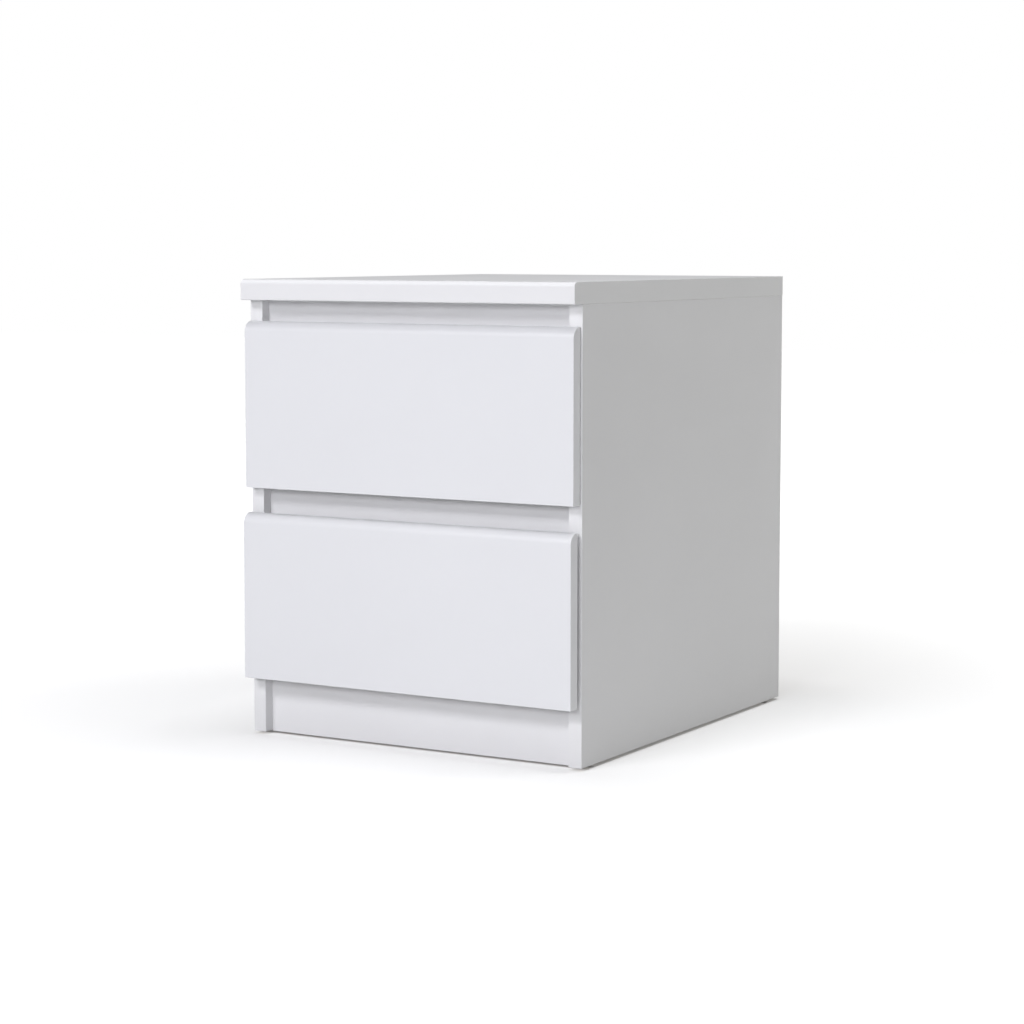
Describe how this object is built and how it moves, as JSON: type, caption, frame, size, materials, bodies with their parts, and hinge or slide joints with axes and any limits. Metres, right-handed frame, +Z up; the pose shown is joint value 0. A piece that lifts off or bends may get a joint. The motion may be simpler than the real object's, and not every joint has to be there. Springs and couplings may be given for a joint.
{
  "type": "bedside chest with drawers",
  "caption": "White boxy bedside chest with shallow drawers on roller runners, overhanging top, finger gaps above rounded drawer fronts, recessed plinth.",
  "frame": {"origin": "on the floor under the middle of the outline, with the lower drawer 5 mm open as stored", "axes": "+X to the right as seen from the front, +Y to the back, +Z up; the drawers slide out along -Y"},
  "size_m": [0.401, 0.4912, 0.486],
  "materials": {
    "white_foil": "satin white foil on particle board",
    "white_lacquer": "satin white lacquer on fibreboard",
    "hardboard": "hardboard, white on the inner face and raw brown on the other",
    "runner_steel": "white epoxy coat on folded steel sheet",
    "nylon": "off-white nylon",
    "zinc": "die-cast zinc",
    "glide_plastic": "pale moulded plastic"
  },
  "bodies": {
    "cabinet": {"back_panel": "hardboard", "left_front_glide": "glide_plastic", "left_front_top_cam": "zinc", "left_rear_glide": "glide_plastic", "left_rear_top_cam": "zinc", "left_side_panel": "white_foil", "lower_left_cabinet_runner": "runner_steel", "lower_right_cabinet_runner": "runner_steel", "middle_front_rail": "white_foil", "middle_front_rail_left_cam": "zinc", "middle_front_rail_right_cam": "zinc", "plinth_board": "white_foil", "plinth_board_left_cam": "zinc", "plinth_board_right_cam": "zinc", "rear_bottom_rail": "white_foil", "rear_bottom_rail_left_cam": "zinc", "rear_bottom_rail_right_cam": "zinc", "rear_top_rail": "white_foil", "rear_top_rail_left_cam": "zinc", "rear_top_rail_right_cam": "zinc", "right_front_glide": "glide_plastic", "right_front_top_cam": "zinc", "right_rear_glide": "glide_plastic", "right_rear_top_cam": "zinc", "right_side_panel": "white_foil", "top_panel": "white_foil", "upper_front_rail": "white_foil", "upper_front_rail_left_cam": "zinc", "upper_front_rail_right_cam": "zinc", "upper_left_cabinet_runner": "runner_steel", "upper_right_cabinet_runner": "runner_steel"},
    "upper_drawer": {"upper_drawer_back": "white_foil", "upper_drawer_bottom": "hardboard", "upper_drawer_front": "white_lacquer", "upper_drawer_left_cam": "zinc", "upper_drawer_left_side": "white_foil", "upper_drawer_right_cam": "zinc", "upper_drawer_right_side": "white_foil", "upper_left_drawer_runner": "runner_steel", "upper_right_drawer_runner": "runner_steel"},
    "lower_drawer": {"lower_drawer_back": "white_foil", "lower_drawer_bottom": "hardboard", "lower_drawer_front": "white_lacquer", "lower_drawer_left_cam": "zinc", "lower_drawer_left_side": "white_foil", "lower_drawer_right_cam": "zinc", "lower_drawer_right_side": "white_foil", "lower_left_drawer_runner": "runner_steel", "lower_right_drawer_runner": "runner_steel"},
    "lower_left_front_roller": {"lower_left_front_roller": "nylon"},
    "lower_left_rear_roller": {"lower_left_rear_roller": "nylon"},
    "lower_right_front_roller": {"lower_right_front_roller": "nylon"},
    "lower_right_rear_roller": {"lower_right_rear_roller": "nylon"},
    "upper_left_front_roller": {"upper_left_front_roller": "nylon"},
    "upper_left_rear_roller": {"upper_left_rear_roller": "nylon"},
    "upper_right_front_roller": {"upper_right_front_roller": "nylon"},
    "upper_right_rear_roller": {"upper_right_rear_roller": "nylon"}
  },
  "joints": [
    {"name": "upper_drawer_slide", "type": "slide", "parent": "cabinet", "child": "upper_drawer", "axis": [0, -1, 0], "range_m": [0, 0.3]},
    {"name": "upper_left_front_roller_spin", "type": "hinge", "parent": "cabinet", "child": "upper_left_front_roller", "pos_m": [-0.1794, -0.21335, 0.2887], "axis": [1, 0, 0], "continuous": true},
    {"name": "upper_left_rear_roller_spin", "type": "hinge", "parent": "upper_drawer", "child": "upper_left_rear_roller", "pos_m": [-0.1794, 0.16465, 0.288], "axis": [1, 0, 0], "continuous": true},
    {"name": "upper_right_front_roller_spin", "type": "hinge", "parent": "cabinet", "child": "upper_right_front_roller", "pos_m": [0.1794, -0.21335, 0.2887], "axis": [1, 0, 0], "continuous": true},
    {"name": "upper_right_rear_roller_spin", "type": "hinge", "parent": "upper_drawer", "child": "upper_right_rear_roller", "pos_m": [0.1794, 0.16465, 0.288], "axis": [1, 0, 0], "continuous": true},
    {"name": "lower_drawer_slide", "type": "slide", "parent": "cabinet", "child": "lower_drawer", "axis": [0, -1, 0], "range_m": [-0.005, 0.295]},
    {"name": "lower_left_front_roller_spin", "type": "hinge", "parent": "cabinet", "child": "lower_left_front_roller", "pos_m": [-0.1794, -0.21335, 0.0862], "axis": [1, 0, 0], "continuous": true},
    {"name": "lower_left_rear_roller_spin", "type": "hinge", "parent": "lower_drawer", "child": "lower_left_rear_roller", "pos_m": [-0.1794, 0.15965, 0.0855], "axis": [1, 0, 0], "continuous": true},
    {"name": "lower_right_front_roller_spin", "type": "hinge", "parent": "cabinet", "child": "lower_right_front_roller", "pos_m": [0.1794, -0.21335, 0.0862], "axis": [1, 0, 0], "continuous": true},
    {"name": "lower_right_rear_roller_spin", "type": "hinge", "parent": "lower_drawer", "child": "lower_right_rear_roller", "pos_m": [0.1794, 0.15965, 0.0855], "axis": [1, 0, 0], "continuous": true}
  ],
  "couplings": [
    {"joint": "upper_left_front_roller_spin", "follows": "upper_drawer_slide", "rad_per_m": 125},
    {"joint": "upper_left_rear_roller_spin", "follows": "upper_drawer_slide", "rad_per_m": 125},
    {"joint": "upper_right_front_roller_spin", "follows": "upper_drawer_slide", "rad_per_m": 125},
    {"joint": "upper_right_rear_roller_spin", "follows": "upper_drawer_slide", "rad_per_m": 125},
    {"joint": "lower_left_front_roller_spin", "follows": "lower_drawer_slide", "rad_per_m": 125},
    {"joint": "lower_left_rear_roller_spin", "follows": "lower_drawer_slide", "rad_per_m": 125},
    {"joint": "lower_right_front_roller_spin", "follows": "lower_drawer_slide", "rad_per_m": 125},
    {"joint": "lower_right_rear_roller_spin", "follows": "lower_drawer_slide", "rad_per_m": 125}
  ]
}
